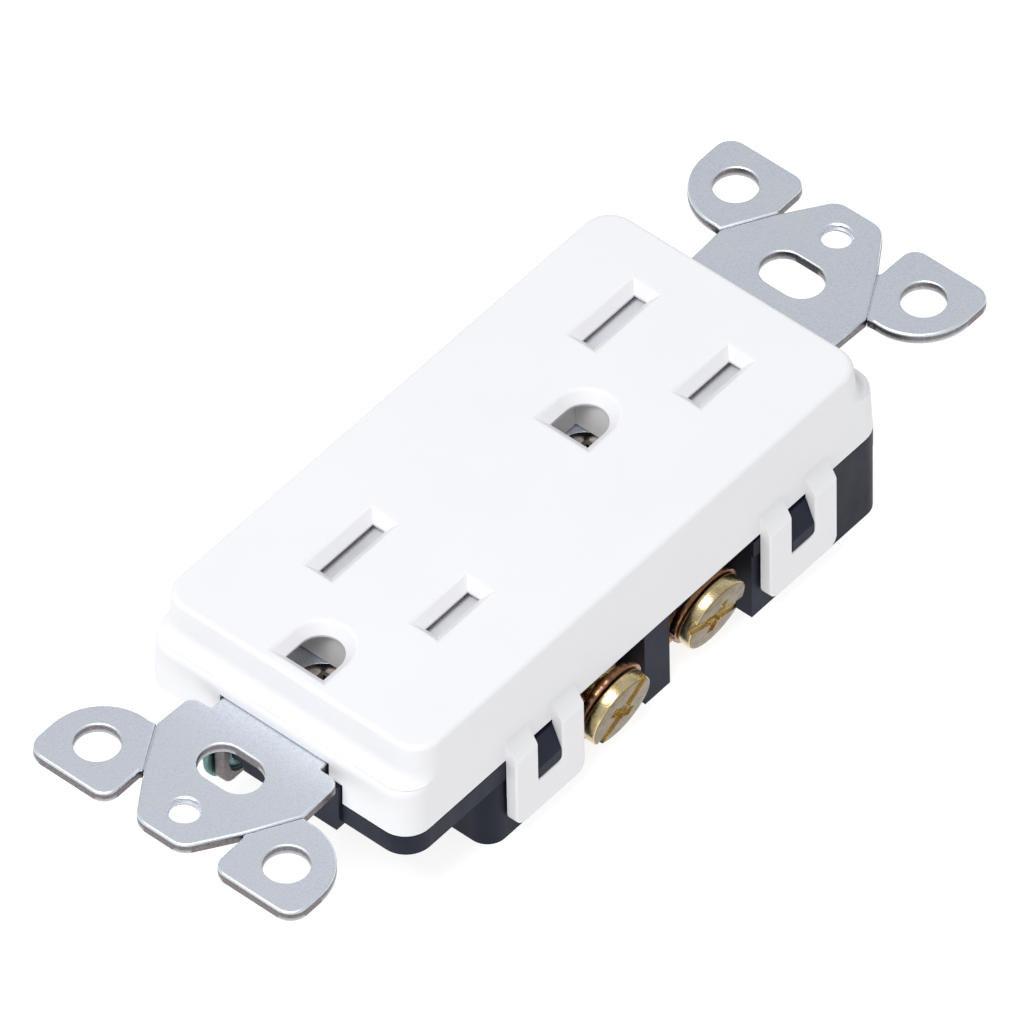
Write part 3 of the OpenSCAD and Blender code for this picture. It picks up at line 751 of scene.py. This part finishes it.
def strap_side(low_shoulder):
    """Corners of the strap's +X edge, from its bottom end to its top end."""
    wide, waist = STRAP_HALF_W, WAIST_HALF_W
    outer_r, inner_r = 0.5, 0.3
    low_y, top_y = ROWS[1] - 7, ROWS[0] + 5.6
    y0, y1 = 5.5, 15.5
    low_pad = [(wide, low_y, outer_r), (waist, low_y, inner_r)]
    middle_pad = [(waist, y0, inner_r), (wide, y0, outer_r), (wide, y1, outer_r), (waist, y1, inner_r)]
    top_pad = [(waist, top_y, inner_r), (wide, top_y, outer_r)]
    bottom_end = [(x, -y, r) for x, y, r in reversed(strap_end(low_shoulder))]
    return bottom_end + low_pad + middle_pad + top_pad + strap_end(SHOULDER_Y)


def ear_outline():
    """One break-off ear at the +X +Y corner, with its score edge just clear of the plate's."""
    gap, lead_degrees = 0.08, 7
    inner_x = 6.6
    along = Vector(SCORE_TOP) - Vector(SCORE_LOW)
    clear = Vector((along.y, -along.x)).normalized() * gap
    low, top = Vector(SCORE_LOW) + clear, Vector(SCORE_TOP) + clear
    start = math.degrees(math.atan2(low.y - EAR_Y, low.x - EAR_X))
    bulge = arc(EAR_X, EAR_Y, EAR_R, start + lead_degrees, 0, 28)
    corners = rounded([
        (EAR_SIDE_X, EAR_Y + 0.1, 0), (EAR_SIDE_X, STRAP_END, 2.0), (inner_x, STRAP_END, 1.7),
        (top.x + 0.2, top.y + 0.3, 0),
    ], 8)
    return [tuple(low)] + bulge[:-1] + corners + [tuple(top)]


def score_bar():
    """The web left along an ear's score line, just under the surface."""
    half_w, low_inset, top_inset = 0.4, 0.3, 0.2
    along = (Vector(SCORE_TOP) - Vector(SCORE_LOW)).normalized()
    across = Vector((along.y, -along.x)) * half_w
    start = Vector(SCORE_LOW) + along * low_inset
    end = Vector(SCORE_TOP) - along * top_inset
    return [tuple(p) for p in (start - across, start + across, end + across, end - across)]


def oval(cy):
    """A box-screw slot, long along X."""
    right = arc(OVAL_X, cy, OVAL_R, -90, 90, 20)
    left = arc(-OVAL_X, cy, OVAL_R, 90, 270, 20)
    return right + left


def ground_tab():
    """The tab bent down at the bottom end, drawn flat in the YZ plane, with its tapped hole."""
    tab = Solid()
    y0, y1 = TAB_YS
    top = STRAP_T - 0.3
    corners = [(y0, TAB_LOW, TAB_CORNER_R), (y1, TAB_LOW, TAB_CORNER_R), (y1, top, 0), (y0, top, 0)]
    sheet_metal(tab, rounded(corners, 8), [], TAB_X, TAB_X + STRAP_T, top_r=0.2, threads=[TAB_HOLE])
    tab.points = [Vector((p.z, p.x, p.y)) for p in tab.points]
    return tab


def mounting_strap():
    """The steel strap: plate, scored ears, tapped holes, slots and the bent ground tab."""
    solid = ground_tab()
    right = strap_side(SHOULDER_Y)
    left = strap_side(RELIEF_Y)
    corners = right + [(-x, y, r) for x, y, r in reversed(left)]
    punched = [circle(0, y - GROUND_DROP, PIN_HOLE_R) for y in ROWS]
    punched += [circle(0, y, RIVET_R, 24) for y in RIVET_YS]
    holes = [oval(sy * BOX_Y) for sy in (-1, 1)]
    x, y, r = PLATE_HOLE
    threads = [(x, sy * y, r) for sy in (-1, 1)]
    sheet_metal(solid, rounded(corners), holes, 0, STRAP_T, punched=punched, threads=threads)
    ear = ear_outline()
    web = score_bar()
    for sx in (-1, 1):
        for sy in (-1, 1):
            hole = circle(sx * EAR_HOLE[0], sy * EAR_HOLE[1], EAR_HOLE[2])
            sheet_metal(solid, mirrored(ear, sx, sy), [hole], 0, STRAP_T)
            strip = mirrored(web, sx, sy)
            first, last = solid.loft([at_height(strip, z) for z in (SCORE_DEPTH, STRAP_T - SCORE_DEPTH)])
            solid.cap(first)
            solid.cap(last)
    strap = solid.object("mounting_strap_steel")
    smooth(strap, 50)
    finished(strap, ROOT, "galvanised_steel", STEEL, "mounting_strap")


# ---- screws and pressure plates ----

# A terminal's axis starts on its plate and leans down; distances along it are from the centre line
DROOP = 12.0
PLATE_X, TERMINAL_Z = 13.4, -8.2
TERMINAL_YS = {"upper": 9.75, "lower": -5.45}
HEAD_X, CLAMP_X, TIP_X = 15.9, 14.9, 9.6
HEAD_R, HEAD_FACE_R, HEAD_T = 4.2, 3.85, 1.4
CLAMP_R, CLAMP_T = 4.6, 0.9
BACKED_OUT = 0.8
SHANK_R = 1.98


def on_terminal(x, y, side):
    """Turns a shape made along +Z, in millimetres, to lie on a terminal screw's leaning axis."""
    start = Matrix.Translation(Vector((side * PLATE_X, y, TERMINAL_Z)) * MM)
    lean = Matrix.Rotation(math.radians((90 + DROOP) * side), 4, "Y")
    return start @ lean @ Matrix.Translation((0, 0, (x - PLATE_X) * MM))


def lathe(solid, profile, steps=64, wave=None):
    """Turns (radius, height) pairs round +Z. wave changes a radius by angle and height."""
    rings = []
    for r, z in profile:
        ring = []
        for i in range(steps):
            a = 2 * math.pi * i / steps
            radius = wave(r, z, i / steps) if wave else r
            ring.append((radius * math.cos(a), radius * math.sin(a), z))
        rings.append(ring)
    return solid.loft(rings)


def screw_shank(solid, tip, top):
    """A threaded shank from tip up to top, with a tapered start."""
    taper_length, tip_share = 0.7, 0.72
    levels_per_turn = 10
    levels = round((top - tip) / THREAD_PITCH * levels_per_turn)

    def wave(radius, z, share):
        taper = min(1.0, (z - tip) / taper_length)
        crest = thread_wave(z / THREAD_PITCH - share)
        return (radius - THREAD_DEPTH * (1 - crest)) * (tip_share + (1 - tip_share) * taper)

    profile = [(SHANK_R, tip + (top - tip) * k / levels) for k in range(levels + 1)]
    first, last = lathe(solid, profile, 32, wave)
    solid.cap(first)
    solid.cap(last)


def screw_head(name, radius, face_r, height, slot_turn):
    """A binding head along +Z with its underside at 0, cut by a slot, a shorter cross and a pit."""
    head = Solid()
    edge_r, side_top = 0.12, 0.5
    rim = [(radius - edge_r * (1 - math.sin(a)), edge_r * (1 - math.cos(a))) for a in (0, 0.5, 1.0, 1.57)]
    # The face has a low rounded edge and rises a little to its middle
    dome = [(face_r + 0.28 - i * 0.9, height - d * 0.5) for i, d in reversed(quarter(0.3, 4))]
    face = [(face_r * 0.7, height + 0.04), (face_r * 0.35, height + 0.06)]
    first, last = lathe(head, rim + [(radius, side_top)] + dome + face)
    head.cap(first)
    head.cap(last)
    made = head.object(name)
    turn = Matrix.Rotation(math.radians(slot_turn), 4, "Z")
    slot, cross, pit = (PAST, 0.7, 0.45), (0.6, 2.15, 0.4), (0.9, 0.9, 0.7)
    for half_x, half_y, depth in (slot, cross, pit):
        cut = block((-half_x, -half_y, height - depth), (half_x, half_y, PAST))
        combine(made, placed(cut, turn), "DIFFERENCE")
    return made


def join(target, others):
    """Adds the meshes of other objects to one object, which keeps its name."""
    edit = bmesh.new()
    edit.from_mesh(target.data)
    for other in others:
        edit.from_mesh(other.data)
        bpy.data.objects.remove(other)
    edit.to_mesh(target.data)
    edit.free()
    return target


def screw(name, node, place, sizes, slot_turn, look, slot, body):
    """A whole screw along +Z, moved by place, which puts the middle of its head's underside.

    sizes are the head's radius, its face's radius and its height, and the shank's length.
    """
    radius, face_r, height, length = sizes
    head = screw_head(name, radius, face_r, height, slot_turn)
    shank = Solid()
    screw_shank(shank, -length, 0.2)
    made = join(head, [shank.object("shank")])
    placed(made, place)
    soften(made, 0.05, 30)
    smooth(made, 35)
    finished(made, body, slot, look, node)


def pressure_plate(name, node, place, look, slot, body):
    """A round pressure plate along +Z, moved by place, finely serrated and cupped towards the wire."""
    r, t = CLAMP_R, CLAMP_T
    bore_r, teeth, tooth_depth = 2.15, 30, 0.06

    def wave(radius, z, share):
        if radius < r * 0.8:
            return radius
        return radius - tooth_depth * abs(math.sin(math.pi * teeth * share))

    plate = Solid()
    profile = [
        (bore_r, 0.25), (3.0, 0.22), (r - 0.5, 0.0), (r - 0.06, 0.05), (r, 0.14), (r, t - 0.16),
        (r - 0.06, t - 0.06), (r - 0.5, t - 0.02), (3.1, t - 0.18), (2.6, t - 0.05), (bore_r, t - 0.05),
    ]
    first, last = lathe(plate, profile, 180, wave)
    plate.wall(last, first)
    made = placed(plate.object(name), place)
    smooth(made, 40)
    finished(made, body, slot, look, node)


def terminal(side, level, metal, metal_slot, plate_metal, plate_slot, slot_turn):
    """A terminal's screw and pressure plate. slot_turn is from the downward direction, towards +Y."""
    name = ("hot_" if side > 0 else "neutral_") + level
    y = TERMINAL_YS[level]
    out = BACKED_OUT if name == "hot_lower" else 0.0
    sizes = (HEAD_R, HEAD_FACE_R, HEAD_T, HEAD_X - TIP_X)
    place = on_terminal(HEAD_X + out, y, side)
    screw(name + "_screw_detail", name + "_screw", place, sizes, side * slot_turn, metal, metal_slot,
          name + "_screw")
    place = on_terminal(CLAMP_X + out, y, side)
    pressure_plate(name + "_clamp_detail", name + "_clamp", place, plate_metal, plate_slot, name + "_clamp")


def ground_screw():
    """The green ground screw, in the tab's tapped hole."""
    low, high = cad("ground_screw")
    middle = (low + high) / 2
    head_t, face_r, slot_turn = 1.4, 2.7, 35
    past_tab = 0.05
    under = low.x + head_t
    length = TAB_X + STRAP_T - under + past_tab
    sizes = ((high.z - low.z) / 2, face_r, head_t - 0.05, length)
    place = along_minus_x(under, middle.y, middle.z)
    screw("ground_screw_detail", "ground_screw", place, sizes, slot_turn, GREEN, "screw_green",
          "ground_screw")


# ---- shutter springs ----


def shutter_spring(level):
    """A coil spring with closer turns at its ends, which the shutter presses together."""
    node = level + "_shutter_spring"
    low, high = cad(node)
    wire, turns, closing = 0.17, 9, 0.088
    radius = (high.z - low.z) / 2 - wire
    steps, sides = 24, 8
    x0, x1 = low.x + wire, high.x - wire
    middle = (low + high) / 2
    rings = []
    for i in range(turns * steps + 1):
        share = i / (turns * steps)
        # The turns lie closer together at both ends than in the middle
        eased = share - closing * math.sin(2 * math.pi * share)
        a = 2 * math.pi * i / steps
        ring = []
        for k in range(sides):
            b = 2 * math.pi * k / sides
            r = radius + wire * math.cos(b)
            ring.append((x0 + (x1 - x0) * eased + wire * math.sin(b),
                         middle.y + r * math.cos(a), middle.z + r * math.sin(a)))
        rings.append(ring)
    coil = Solid()
    first, last = coil.loft(rings)
    coil.cap(first)
    coil.cap(last)
    spring = coil.object(node + "_coil")
    smooth(spring, 60)
    finished(spring, ROOT, "spring_steel", SPRING, node)
    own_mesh(spring)


# ---- pieces that keep their CAD shape ----

def dress(node, material, merged=True):
    """Gives a CAD node its material and even shading. merged joins the triangles of its flat faces."""
    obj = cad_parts[node]
    obj.data.materials.clear()
    obj.data.materials.append(material)
    if merged:
        flat = obj.modifiers.new("flat_faces", "DECIMATE")
        flat.decimate_type = "DISSOLVE"
        flat.angle_limit = math.radians(1.0)
    even_normals(obj)


# ---- camera, light and floor ----

def look_from_photo_angle():
    """A long lens far from the object, fitted to the photo's hole centres and slot corners."""
    azimuth, elevation, roll = math.radians(41.601), math.radians(47.983), math.radians(-1.415)
    back = Vector((
        math.sin(azimuth) * math.cos(elevation),
        -math.cos(azimuth) * math.cos(elevation),
        math.sin(elevation),
    ))
    flat_right = Vector((0, 0, 1)).cross(back).normalized()
    flat_up = back.cross(flat_right)
    right = math.cos(roll) * flat_right + math.sin(roll) * flat_up
    up = -math.sin(roll) * flat_right + math.cos(roll) * flat_up
    data = bpy.data.cameras.new("camera")
    data.lens = 592.4
    data.sensor_width = 36.0
    data.clip_start = 0.1
    data.clip_end = 20.0
    camera = bpy.data.objects.new("camera", data)
    spot = Vector((722.10, -813.72, 1209.67)) * MM
    camera.matrix_world = Matrix.Translation(spot) @ Matrix((right, up, back)).transposed().to_4x4()
    scene.collection.objects.link(camera)
    scene.camera = camera


def softbox(name, spot, size, power):
    """A square area light that points at the object."""
    data = bpy.data.lights.new(name, "AREA")
    data.shape = "SQUARE"
    data.size = size
    data.energy = power
    light = bpy.data.objects.new(name, data)
    light.location = spot
    light.rotation_euler = (-Vector(spot)).to_track_quat("-Z", "Y").to_euler()
    scene.collection.objects.link(light)


def studio():
    """A white floor that glows a little, an even white surround and one soft light."""
    world = bpy.data.worlds.new("surround")
    world.use_nodes = True
    surround = world.node_tree.nodes["Background"]
    surround.inputs["Color"].default_value = (0.96, 0.97, 1, 1)
    surround.inputs["Strength"].default_value = 0.52
    scene.world = world
    softbox("key", spot=(0.02, -0.40, 0.92), size=0.5, power=7.5)
    floor = Solid()
    half = 1500
    corners = [(-half, -half), (half, -half), (half, half), (-half, half)]
    floor.faces.append(tuple(floor.ring(at_height(corners, FLOOR_Z))))
    ground = floor.object("floor")
    look = Look("floor", 0.9)
    look.colour(look.ramp(look.noise(400, 1), [(0.0, 0.34), (1.0, 0.36)]))
    look.shader.inputs["Emission Color"].default_value = (1, 1, 1, 1)
    look.shader.inputs["Emission Strength"].default_value = 0.85
    ground.data.materials.append(look.material)
    scene.view_settings.view_transform = "Standard"


look_from_photo_angle()
studio()

face_cover()
mounting_strap()
dress("base_housing", BLACK)
dress("hot_contact_strip", CONTACT)
dress("neutral_contact_strip", TINNED)
dress("ground_contact_strip", DULL_BRASS)
dress("ground_rivets", TINNED, merged=False)
for level in ("upper", "lower"):
    dress(level + "_shutter_frame", GREY)
    dress(level + "_shutter", SHUTTER)
    shutter_spring(level)
for level, hot_turn, neutral_turn in (("upper", 70, 20), ("lower", -40, 65)):
    terminal(1, level, BRASS, "screw_brass", COPPER, "copper_brass", hot_turn)
    terminal(-1, level, NICKEL, "screw_nickel", TINNED, "tinned_brass", neutral_turn)
ground_screw()
